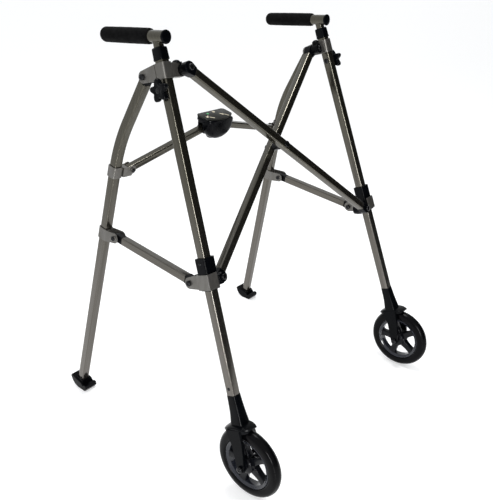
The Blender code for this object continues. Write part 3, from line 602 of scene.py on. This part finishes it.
def star_knob(tag, place):
    lobes = 5
    steps = lobes * 18

    def ring(x, scale, depth=1.0):
        points = []
        for i in range(steps):
            turn = 2 * math.pi * i / steps
            lobe = 1 - LOBE_DEPTH * depth + LOBE_DEPTH * depth * math.cos(lobes * turn)
            radius = KNOB_RADIUS * scale * lobe
            points.append(Vector((x, radius * math.sin(turn), radius * math.cos(turn))))
        return points

    rings = [
        ring(0.0106, 0.36, 0.0),
        ring(0.0150, 0.38, 0.0),
        ring(0.0154, 0.62, 0.5),
        ring(0.0156, 0.90),
        ring(0.0164, 0.97),
        ring(0.0180, 1.00),
        ring(0.0236, 1.00),
        ring(0.0252, 0.97),
        ring(0.0262, 0.90),
        ring(0.0266, 0.78),
        ring(0.0262, 0.52, 0.4),
        ring(0.0256, 0.40, 0.0),
        ring(0.0256, 0.10, 0.0),
    ]
    body = f"knob_{tag}"
    node = f"star_knob_{tag}"
    shape = loft(rings)
    piece(f"lobed_knob_{tag}", shape, place, body, PLASTIC_SMOOTH, [node], degrees=45)
    outward = place.to_3x3() @ Vector((1, 0, 0))
    inner_face = place @ Vector((-HALF_TUBE, 0, 0))
    button_head(f"knob_bolt_{tag}", inner_face, -outward, 0.0058, 0.0032, f"{tag}_side")
    outer_face = place @ Vector((KNOB_INSERT, 0, 0))
    button_head(f"knob_insert_{tag}", outer_face, outward, 0.0050, 0.0010, body)


def pair_of_heads(name, centre, axis, reach, radius, height, body, ends=("outer", "inner")):
    """A screw head at each end of a bolt through the centre."""
    for end, sign in zip(ends, (1, -1)):
        head = centre + axis * sign * reach
        button_head(name.format(end=end), head, axis * sign, radius, height, body)


def leg_details(tag, place):
    """Screw heads, rivets and caps on one side of the frame."""
    side = SIDES[tag]
    body = f"{tag}_side"
    outward = place.to_3x3() @ Vector((1, 0, 0))
    up = place.to_3x3() @ Vector((0, 0, 1))
    arm_top = up_leg(BAR_TOP_Z) + 0.0170
    dome(f"arm_end_dome_{tag}", place @ Vector((-ARM_REACH, 0, arm_top)), up, 0.0080, 0.0055, body)
    rivet = place @ Vector((HALF_TUBE, 0, up_leg(RIVET_Z)))
    button_head(f"fork_rivet_{tag}", rivet, outward, 0.0034, 0.0012, body)
    pivot = place_of(f"rear_leg_{tag}_turn")
    name = f"rear_pivot_head_{{end}}_{tag}"
    pair_of_heads(name, pivot, outward, 0.0150, 0.0058, 0.0022, body)
    slider = f"slider_{tag}"
    bolt = place @ Vector((0.0144, 0, up_leg(SLEEVE_BOLT_Z)))
    button_head(f"sleeve_bolt_{tag}", bolt, outward, 0.0028, 0.0012, slider)
    link = place_of(f"side_link_{tag}_turn")
    name = f"link_pin_head_{{end}}_{tag}"
    pair_of_heads(name, link, outward, 0.0150, 0.0056, 0.0022, slider)
    rear_leg = f"rear_leg_{tag}"
    knob = place_of(f"star_knob_{tag}_turn")
    stud_x = knob.x + side * (KNOB_Z - LINK_STUD_Z) * LEG_SPLAY
    stud = Vector((stud_x, LINK_STUD_Y, LINK_STUD_Z))
    name = f"link_stud_head_{{end}}_{tag}"
    pair_of_heads(name, stud, outward, 0.0148, 0.0053, 0.0020, rear_leg)
    pin = place_of(f"brace_{tag}_turn")
    ahead = axis_of(f"brace_{tag}_turn")
    name = f"brace_pin_{{end}}_{tag}"
    pair_of_heads(name, pin, ahead, 0.0129, 0.0047, 0.0018, rear_leg, ("front", "rear"))
    foot_low, foot_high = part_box(f"foot_glide_{tag}")
    edge = foot_high.x if side > 0 else foot_low.x
    foot = Vector((edge - side * 0.0058, FOOT_RIVET_Y, FOOT_RIVET_Z))
    button_head(f"foot_rivet_{tag}", foot, Vector((side, 0, 0.07)), 0.0030, 0.0012, rear_leg)


# ---------------------------------------------------------------- wheels

FORK_INNER = 0.0145
FORK_SPREAD = 0.0085
ARM_THICK = 0.0045
HOOD_INNER = 0.0790
HOOD_OUTER = 0.0830
HOOD_START = -3.0  # degrees behind the wheel's top
HOOD_SWEEP = 49.0  # degrees
FORK_END_Z = 0.206
AXLE_HEAD = 0.0312  # from the wheel's middle to the axle heads
TYRE_HALF = 0.0122
SPOKES = 5
SPOKE_TURN = 15.0  # degrees, where the wheel stands at rest


def wheel_place(tag):
    return frame_of(place_of(f"wheel_{tag}_spin"), (SIDES[tag], 0, 0), (0, 0, 1))


def wheel(tag, place):
    body = f"wheel_{tag}"
    side = SIDES[tag]
    half = TYRE_HALF
    tyre = [(-half + 0.0034, 0.0540), (-half + 0.0008, 0.0552), (-half, 0.0580)]
    steps = 18
    for i in range(steps + 1):
        turn = math.pi * i / steps
        x = -(half - 0.0002) * math.cos(turn) * (1.0 - 0.06 * math.sin(turn))
        groove = 0.0006 if i in (6, 12) else 0.0
        tyre.append((x, 0.0618 + 0.0131 * math.sin(turn) ** 0.75 - groove))
    tyre += [(half, 0.0580), (half - 0.0008, 0.0552), (half - 0.0034, 0.0540)]
    shape = turned(tyre, 96, closed=True)
    name = f"tyre_{tag}"
    piece(f"rubber_{name}", shape, place, body, RUBBER, [name], degrees=55)
    lip = [
        (-0.0092, 0.0536),
        (-0.0104, 0.0534),
        (-0.0108, 0.0522),
        (-0.0102, 0.0510),
        (-0.0092, 0.0502),
        (-0.0080, 0.0480),
        (-0.0072, 0.0468),
        (0.0, 0.0463),
    ]
    lip += [(-x, radius) for x, radius in reversed(lip[:-1])]
    node = f"wheel_rim_{tag}"
    # The lip ring takes the lighter finish with the painted highlight.
    ring = turned(lip, 96, closed=True)
    piece(f"rim_ring_{tag}", ring, place, body, RIM_RING_PAINTED_HIGHLIGHT, [node], degrees=40)
    core = [
        (-0.0215, 0.0045),
        (-0.0215, 0.0068),
        (-0.0210, 0.0075),
        (-0.0168, 0.0080),
        (-0.0160, 0.0150),
        (-0.0150, 0.0168),
        (-0.0130, 0.0178),
        (-0.0105, 0.0180),
        (-0.0090, 0.0172),
    ]
    core += [(-x, radius) for x, radius in reversed(core)]
    shapes = [turned(core, 48, closed=True)]
    sections = (
        (0.0120, 0.0092, 0.0082),
        (0.0180, 0.0088, 0.0080),
        (0.0250, 0.0079, 0.0074),
        (0.0330, 0.0074, 0.0070),
        (0.0410, 0.0076, 0.0071),
        (0.0455, 0.0086, 0.0075),
        (0.0475, 0.0100, 0.0078),
    )
    for i in range(SPOKES):
        turn = 2 * math.pi * (i + 0.5) / SPOKES + side * math.radians(SPOKE_TURN)
        spin = Matrix.Rotation(turn, 3, "X")
        rings = []
        for reach, width, depth in sections:
            outline = rounded_rectangle(depth, width, 0.0026, 4)
            rings.append([spin @ Vector((x, y, reach)) for x, y in outline])
        shapes.append(loft(rings))
    piece(f"rim_spokes_{tag}", joined(shapes), place, body, RIM, degrees=40)


def fork(tag, place):
    """Socket, hood over the tyre and two splayed arms with a stiffening rib."""
    side = SIDES[tag]
    move = place.inverted() @ leg_frame(tag)
    end = up_leg(FORK_END_Z)
    rings = []
    sections = (
        (-0.0003, 0.0100, 0.0100, 0.0100, 0.0038),
        (-0.0007, 0.0104, 0.0104, 0.0104, 0.0041),
        (-0.0100, 0.0108, 0.0111, 0.0104, 0.0043),
        (-0.0230, 0.0113, 0.0123, 0.0105, 0.0045),
        (-0.0340, 0.0119, 0.0135, 0.0108, 0.0047),
        (-0.0450, 0.0128, 0.0148, 0.0119, 0.0050),
        (-0.0540, 0.0137, 0.0159, 0.0130, 0.0053),
        (-0.0600, 0.0143, 0.0166, 0.0137, 0.0056),
    )
    for z, half_x, front, back, radius in sections:
        outline = rounded_rectangle(half_x, (front + back) / 2, radius, 5)
        shift = (back - front) / 2
        rings.append([move @ Vector((x, side * (y + shift), end + z)) for x, y in outline])
    shapes = [loft(rings)]
    steps = 28
    rings = []
    for i in range(steps + 1):
        turn = math.radians(HOOD_START + HOOD_SWEEP * i / steps)
        ahead = max(0.0, 1 - 3.2 * i / steps)
        behind = max(0.0, (2.4 * i / steps) - 1.4)
        half = 0.0186 * math.sqrt(1 - 0.55 * ahead**2) * math.sqrt(1 - 0.75 * behind**2)
        lift = 0.0012 * max(ahead, behind) ** 4
        lip = HOOD_INNER - 0.0070 * (1 - max(ahead, behind) ** 2)
        wall = half - 0.0018
        section = (
            (-half, lip),
            (-wall, lip),
            (-wall, HOOD_INNER),
            (wall, HOOD_INNER),
            (wall, lip),
            (half, lip),
            (half + 0.0002, HOOD_OUTER - 0.0022),
            (half - 0.0010, HOOD_OUTER - 0.0007 - lift),
            (half - 0.0032, HOOD_OUTER - lift),
            (half * 0.35, HOOD_OUTER + 0.0009 - lift),
            (-half * 0.35, HOOD_OUTER + 0.0009 - lift),
            (0.0032 - half, HOOD_OUTER - lift),
            (0.0010 - half, HOOD_OUTER - 0.0007 - lift),
            (-half - 0.0002, HOOD_OUTER - 0.0022),
        )
        rings.append([Vector((x, side * r * math.sin(turn), r * math.cos(turn))) for x, r in section])
    shapes.append(loft(rings))
    tops = [(0.0105, 0.0800), (0.0465, 0.0660), (0.0385, 0.0560)]
    outline = [(0.0095 * math.cos(t), 0.0095 * math.sin(t)) for t in arc(150, 325, 16)]
    outline += [(0.0270, 0.0400), *reversed(tops)]
    outline.append((0.0008, 0.0450))
    rim_line = rounded_outline(outline, 0.0040, 3)

    def arm_x(z, out):
        return FORK_INNER + FORK_SPREAD * (1 - z / HOOD_OUTER) + out

    for sign in (-1, 1):
        rings = []
        for out, inset in ((0.0, 0.0), (0.0036, 0.0), (ARM_THICK, 0.0009)):
            ring = []
            for y, z in rim_line:
                toward = Vector((0.010, 0.030)) - Vector((y, z))
                moved = Vector((y, z)) + toward.normalized() * inset
                ring.append(Vector((sign * arm_x(moved.y, out), side * moved.x, moved.y)))
            rings.append(ring)
        shapes.append(loft(rings))
        rib = []
        for t in range(13):
            z = 0.002 + 0.0745 * t / 12
            y = -0.0080 + 0.0190 * (t / 12) ** 1.6
            section = ((0.0, 0.0), (0.0, 0.0026), (0.0052, 0.0020), (0.0060, 0.0013), (0.0052, 0.0006))
            ring = [Vector((sign * arm_x(z, out), side * (y + over), z)) for out, over in section]
            rib.append(ring)
        shapes.append(loft(rib))
    node = f"wheel_fork_{tag}"
    body = f"{tag}_side"
    shape = joined(shapes)
    piece(f"moulded_fork_{tag}", shape, place, body, PLASTIC_SMOOTH, [node], degrees=32)
    name = f"axle_head_{{end}}_{tag}"
    outward = Vector((side, 0, 0))
    pair_of_heads(name, place.translation, outward, AXLE_HEAD, 0.0063, 0.0022, body)


def arc(start, end, steps):
    """Angles from one number of degrees to another."""
    return [math.radians(start + (end - start) * i / steps) for i in range(steps + 1)]


# ---------------------------------------------------------------- hub


PLATE_LOW = 0.0288  # heights over the hub's pivots
PLATE_HIGH = 0.0316
BELLY_TOP = 0.0280


def hub():
    pivot = place_of("hub_turn")
    up = axis_of("release_button_press")
    if up.z < 0:
        up = -up
    place = frame_of(Vector((0, pivot.y, pivot.z)), (1, 0, 0), up)
    half = 0.0440
    corners = [
        (-half, 0.0090),
        (-half + 0.005, 0.0140),
        (half - 0.005, 0.0140),
        (half, 0.0090),
        (half, -0.0160),
        (half - 0.016, -0.0270),
        (half * 0.25, -0.0300),
        (-half * 0.25, -0.0300),
        (-half + 0.016, -0.0270),
        (-half, -0.0160),
    ]
    outline = rounded_outline(corners, 0.0060, 4)
    shape = slab(outline, PLATE_LOW, PLATE_HIGH, 0.0008)
    piece("cover_plate", shape, place, "hub", PLATE, ["hub_top_plate"], degrees=30)
    # The belly stands ahead of the room in which the arms turn.
    belly = [(-0.0415, BELLY_TOP), (-0.0400, 0.0020), (-0.0300, -0.0110), (-0.0120, -0.0190)]
    belly += [(-x, z) for x, z in reversed(belly)]
    rings = []
    for y, scale in ((-0.0128, 1.0), (-0.0200, 1.0), (-0.0255, 0.96), (-0.0285, 0.86), (-0.0292, 0.74)):
        curve = rounded_outline(belly, 0.0090, 5)
        rings.append([Vector((x * scale, y, BELLY_TOP + (z - BELLY_TOP) * scale)) for x, z in curve])
    shape = loft(rings)
    piece("housing_front", shape, place, "hub", PLASTIC_SMOOTH, degrees=40)
    skirt = [point * 0.965 for point in outline]
    shape = slab(skirt, 0.0200, 0.0290, 0.0010)
    piece("housing_skirt", shape, place, "hub", PLASTIC_SMOOTH, degrees=30)

    def mark(name, outline, material=PRINT_PALE):
        shape = slab([Vector(point) for point in outline], 0.0315, 0.0318)
        piece(name, shape, place, "hub", material)

    def moved(points, x, y, turn, scale):
        c = math.cos(math.radians(turn)) * scale
        s = math.sin(math.radians(turn)) * scale
        return [(x + c * a - s * b, y + s * a + c * b) for a, b in points]

    arrow = [(-1, -0.28), (0.1, -0.28), (0.1, -0.75), (1, 0), (0.1, 0.75), (0.1, 0.28), (-1, 0.28)]
    tick = [(-1, -0.22), (1, -0.22), (1, 0.22), (-1, 0.22)]
    disc = [(math.cos(t), math.sin(t)) for t in arc(0, 345, 23)]
    mark("mark_arrow_left", moved(arrow, -0.0300, -0.0090, 215, 0.0058))
    mark("mark_arrow_right", moved(arrow, 0.0150, -0.0110, -60, 0.0058))
    mark("mark_bar_left", moved(tick, -0.0225, -0.0165, -48, 0.0060))
    mark("mark_bar_right", moved(tick, 0.0225, -0.0190, -60, 0.0052))
    mark("mark_disc", moved(disc, 0.0045, 0.0060, 0, 0.0036))
    mark("mark_green_dot", moved(disc, -0.0165, 0.0035, 0, 0.0030), PRINT_GREEN)


# ---------------------------------------------------------------- assembly

FRONT = -axis_of("fold")
if FRONT.y > 0:
    FRONT = -FRONT


LINK_RISE = 0.2  # the side link's rise, as a share of its box's height


def bar_heads():
    """Domed heads on the bolts of the front X."""
    heads = (
        ("top_right", "fold", 0.0308, "right_side"),
        ("top_left", "left_side_turn", 0.0118, "left_side"),
        ("foot_left", "slider_left_turn", 0.0308, "slider_left"),
        ("foot_right", "slider_right_turn", 0.0028, "slider_right"),
    )
    for name, joint, depth, body in heads:
        place = place_of(joint)
        button_head(f"bar_bolt_{name}", place + FRONT * depth, FRONT, 0.0060, 0.0022, body)


def dress_nodes():
    """Finishes for the CAD nodes: a tube's grain runs along the tube."""
    tubes = {}
    for tag, side in SIDES.items():
        up = axis_of(f"handle_{tag}_slide")
        tubes[f"front_leg_{tag}"] = up
        tubes[f"handle_frame_{tag}"] = up
        tubes[f"rear_leg_{tag}"] = Vector((-side * LEG_SPLAY, -REAR_LEAN, 1.0)).normalized()
        low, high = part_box(f"side_link_{tag}")
        rise = LINK_RISE * (high.z - low.z)
        tubes[f"side_link_{tag}"] = Vector((0, high.y - low.y, rise)).normalized()
        tubes[f"brace_arm_{tag}"] = Vector((side, BRACE_BACK, -BRACE_DROP)).normalized()
    low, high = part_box("cross_bar_front")
    lean = LEG_LEAN * (high.z - low.z)
    tubes["cross_bar_front"] = Vector((high.x - low.x, -lean, low.z - high.z)).normalized()
    tubes["cross_bar_rear"] = Vector((high.x - low.x, lean, high.z - low.z)).normalized()
    for node, direction in tubes.items():
        dress(node, tube_finish(f"bronze_{node}", direction), 0.0003)
    sheet = ("top_bracket", "slider_bracket", "side_clamp", "arm_clamp")
    plain = {
        "top_joint_block": (PLASTIC, 0.0009),
        "rear_leg_plug": (PLASTIC_SMOOTH, 0.0006),
        "slider_sleeve": (PLASTIC_SMOOTH, 0.0008),
        "side_link_pin": (STEEL, 0.0004),
        "side_link_front_plug": (PLASTIC, 0.0006),
        "side_link_rear_plug": (PLASTIC, 0.0006),
        "rear_pivot_bolt": (STEEL, 0.0004),
        "axle": (STEEL, 0.0004),
        "foot_glide": (PLASTIC_SMOOTH, 0.0012),
    }
    for tag in SIDES:
        for node in sheet:
            dress(f"{node}_{tag}", SHEET_METAL, 0.0005)
        for node, (material, bevel) in plain.items():
            dress(f"{node}_{tag}", material, bevel)
    for node in ("front_top_end", "front_foot_end", "rear_top_end", "rear_foot_end"):
        dress(f"cross_bar_{node}", PLASTIC_SMOOTH, 0.0008)
    dress("cross_pivot", STEEL, 0.0005)
    dress("hub_housing", PLASTIC_SMOOTH, 0.0012)
    dress("release_button", PLASTIC, 0.0005)


def floor():
    grid = bmesh.new()
    bmesh.ops.create_grid(grid, x_segments=4, y_segments=4, size=40.0)
    mesh = bpy.data.meshes.new("floor")
    grid.to_mesh(mesh)
    grid.free()
    obj = bpy.data.objects.new("floor", mesh)
    bpy.context.scene.collection.objects.link(obj)
    material = bpy.data.materials.new("white_floor")
    material.use_nodes = True
    tree = material.node_tree
    shader = tree.nodes["Principled BSDF"]
    shader.inputs["Base Color"].default_value = (0.86, 0.86, 0.86, 1.0)
    shader.inputs["Specular IOR Level"].default_value = 0.0
    shader.inputs["Emission Color"].default_value = (1.0, 1.0, 1.0, 1.0)
    shader.inputs["Emission Strength"].default_value = 0.40
    space = grain_space(tree, (0, 0, 1), (1, 1, 1))
    wear = noise(tree, space, 4.0)
    gloss = new_node(tree, "ShaderNodeBsdfGlossy")
    tree.links.new(spread(tree, wear, 0.3, 0.7, 0.09, 0.13), gloss.inputs["Roughness"])
    both = new_node(tree, "ShaderNodeMixShader", values={"Fac": 0.16})
    tree.links.new(shader.outputs["BSDF"], both.inputs[1])
    tree.links.new(gloss.outputs["BSDF"], both.inputs[2])
    output = tree.nodes["Material Output"]
    tree.links.new(both.outputs["Shader"], output.inputs["Surface"])
    mesh.materials.append(material)


def area_light(name, place, target, width, height, power):
    data = bpy.data.lights.new(name, "AREA")
    data.shape = "RECTANGLE"
    data.size = width
    data.size_y = height
    data.energy = power
    obj = bpy.data.objects.new(name, data)
    bpy.context.scene.collection.objects.link(obj)
    toward = Vector(target) - Vector(place)
    obj.matrix_world = toward.to_track_quat("-Z", "Y").to_matrix().to_4x4()
    obj.location = place


def black_flag():
    """A dark card to the camera's right, which darkens the sheen of the tubes.

    It is seen only in reflections: the camera, diffuse light and shadows pass it by.
    """
    card = bmesh.new()
    bmesh.ops.create_grid(card, x_segments=2, y_segments=2, size=1.0)
    mesh = bpy.data.meshes.new("black_flag")
    card.to_mesh(mesh)
    card.free()
    obj = bpy.data.objects.new("black_flag", mesh)
    bpy.context.scene.collection.objects.link(obj)
    across = Vector((0.72, 0.69, 0.0)).normalized()
    place = frame_of(Vector((1.15, -1.45, 0.55)), across, Vector((0.69, -0.72, 0.0)))
    obj.matrix_world = place @ Matrix.Diagonal((1.15, 0.54, 1.0, 1.0))
    material = bpy.data.materials.new("black_cloth")
    material.use_nodes = True
    shader = material.node_tree.nodes["Principled BSDF"]
    shader.inputs["Base Color"].default_value = (0.004, 0.004, 0.004, 1.0)
    shader.inputs["Roughness"].default_value = 1.0
    shader.inputs["Specular IOR Level"].default_value = 0.0
    mesh.materials.append(material)
    obj.visible_camera = False
    obj.visible_diffuse = False
    obj.visible_shadow = False


DARK_SIDE = (0.70, -0.71, 0.04)


def surroundings():
    """A studio that falls dark to the front right, and that the camera sees as white."""
    world = bpy.data.worlds.new("studio")
    bpy.context.scene.world = world
    world.use_nodes = True
    tree = world.node_tree
    background = tree.nodes["Background"]
    place = new_node(tree, "ShaderNodeTexCoord")
    toward = new_node(tree, "ShaderNodeVectorMath", {"operation": "DOT_PRODUCT"})
    toward.inputs[1].default_value = DARK_SIDE
    tree.links.new(place.outputs["Generated"], toward.inputs[0])
    level = spread(tree, toward.outputs["Value"], 0.30, 0.86, 0.92, 0.015)
    path = new_node(tree, "ShaderNodeLightPath")
    seen = new_node(tree, "ShaderNodeMath", {"operation": "MAXIMUM"})
    tree.links.new(path.outputs["Is Camera Ray"], seen.inputs[0])
    tree.links.new(level, seen.inputs[1])
    tree.links.new(seen.outputs["Value"], background.inputs["Strength"])
    background.inputs["Color"].default_value = (0.97, 0.985, 1.0, 1.0)
    area_light("overhead", (0.15, 0.15, 2.5), (0, 0, 0.4), 0.45, 0.45, 26)
    area_light("side", (-2.0, -2.1, 1.0), (0, 0, 0.5), 0.36, 1.5, 60)
    black_flag()


def camera():
    data = bpy.data.cameras.new("camera")
    data.lens = CAMERA_LENS
    data.sensor_width = 36.0
    data.sensor_fit = "AUTO"
    data.clip_end = 200.0
    obj = bpy.data.objects.new("camera", data)
    bpy.context.scene.collection.objects.link(obj)
    back = CAMERA_RIGHT.cross(CAMERA_UP).normalized()
    matrix = Matrix((CAMERA_RIGHT, CAMERA_UP, back)).transposed().to_4x4()
    matrix.translation = CAMERA_AT
    obj.matrix_world = matrix
    bpy.context.scene.camera = obj


dress_nodes()
for tag in SIDES:
    leg = leg_frame(tag)
    top_collar(tag, leg)
    handle(tag)
    star_knob(tag, leg)
    leg_details(tag, leg)
    wheel_frame = wheel_place(tag)
    wheel(tag, wheel_frame)
    fork(tag, wheel_frame)
hub()
bar_heads()
floor()
surroundings()
camera()
bpy.context.scene.view_settings.view_transform = "Standard"
